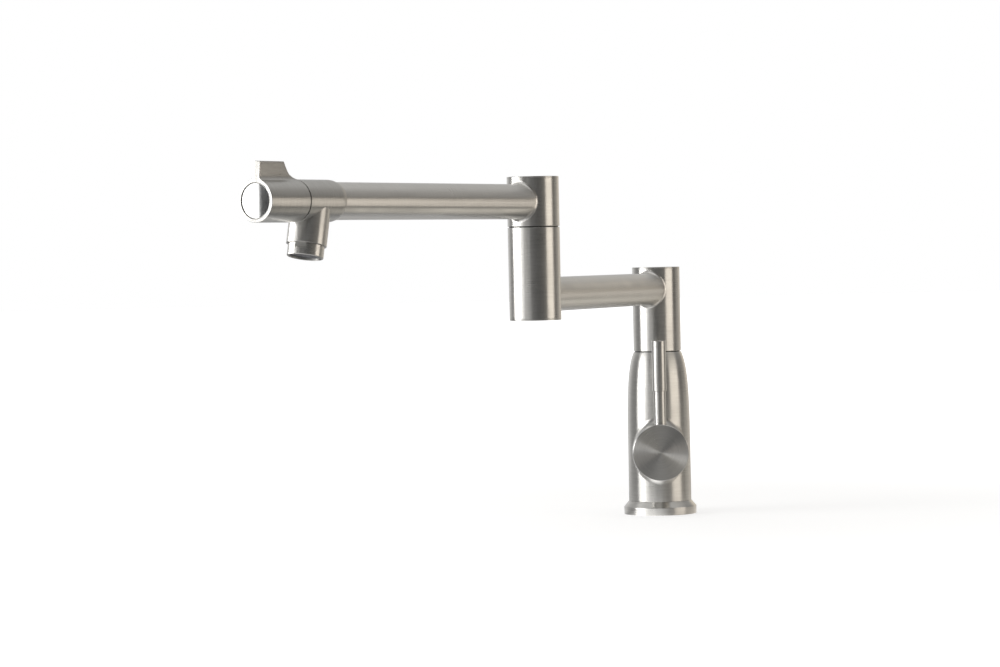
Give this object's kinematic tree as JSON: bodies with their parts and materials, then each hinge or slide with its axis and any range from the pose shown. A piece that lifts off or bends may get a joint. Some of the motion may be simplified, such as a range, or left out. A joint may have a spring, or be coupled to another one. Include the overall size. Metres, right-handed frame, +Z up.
{
  "type": "double-jointed pot filler tap",
  "caption": "Deck-mounted pot filler with a lever valve on a round base, two swinging arms joined by an elbow, and a second shut-off handle at the outlet.",
  "frame": {"origin": "centre of the base on the deck plane, on the axis of the base swivel", "axes": "+Z up along the base swivel; -Y towards the front, where the lever hub faces; +X to the right seen from the front"},
  "size_m": [0.3126, 0.5415, 0.3526],
  "materials": {
    "steel_satin": "brushed round each tube",
    "steel_spun": "spun in circles on the front face",
    "steel_polished": "mirror polished",
    "steel_plain": "plain machined",
    "brass": "machined",
    "rubber_black": "smooth",
    "ceramic_white": "lapped ceramic",
    "ring_plastic": "moulded",
    "insert_plastic": "moulded"
  },
  "bodies": {
    "base": {"base_flange": "steel_satin", "base_gasket": "rubber_black", "valve_body": "steel_satin", "mounting_shank": "brass", "clamp_rubber_washer": "rubber_black", "clamp_steel_washer": "steel_plain", "mounting_nut": "brass", "inlet_tail": "brass", "main_cartridge": "brass", "seat_disc": "ceramic_white", "cartridge_nut": "brass", "riser_post": "brass", "riser_o_rings": "rubber_black", "riser_bearing_ring": "ring_plastic"},
    "lever": {"lever_hub": "steel_spun", "lever_stem": "steel_satin", "lever_grip": "steel_satin", "hub_grub_screw": "steel_plain", "cartridge_spindle": "brass", "turning_disc": "ceramic_white"},
    "lower_arm": {"riser_column": "steel_satin", "riser_cap": "steel_satin", "riser_sleeve": "brass", "riser_grub_screw": "steel_plain", "lower_arm_tube": "steel_satin", "elbow_housing": "steel_satin", "elbow_bottom_cap": "steel_satin", "elbow_sleeve": "brass", "elbow_grub_screw": "steel_plain", "elbow_bearing_ring": "ring_plastic"},
    "upper_arm": {"elbow_column": "steel_satin", "elbow_top_cap": "steel_satin", "elbow_post": "brass", "elbow_o_rings": "rubber_black", "upper_arm_tube": "steel_satin", "outlet_body": "steel_satin", "outlet_cartridge": "brass", "outlet_cartridge_nut": "brass", "aerator_housing": "steel_satin", "aerator_insert": "insert_plastic", "aerator_washer": "rubber_black"},
    "outlet_lever": {"outlet_handle": "steel_satin", "handle_cap": "steel_polished", "handle_screw": "steel_plain", "outlet_spindle": "brass"}
  },
  "joints": [
    {"name": "lever_turn", "type": "hinge", "parent": "base", "child": "lever", "pos_m": [0, -0.0418, 0.0515], "axis": [0, 1, 0], "range_deg": [0, 90]},
    {"name": "base_swivel", "type": "hinge", "parent": "base", "child": "lower_arm", "pos_m": [0, 0, 0.1305], "axis": [0, 0, 1], "continuous": true},
    {"name": "elbow_swivel", "type": "hinge", "parent": "lower_arm", "child": "upper_arm", "pos_m": [-0.09491, -0.23431, 0.2303], "axis": [0, 0, 1], "continuous": true},
    {"name": "outlet_turn", "type": "hinge", "parent": "upper_arm", "child": "outlet_lever", "pos_m": [-0.24932, -0.47028, 0.2486], "axis": [0.5476, 0.8368, 0], "range_deg": [0, 90]}
  ]
}
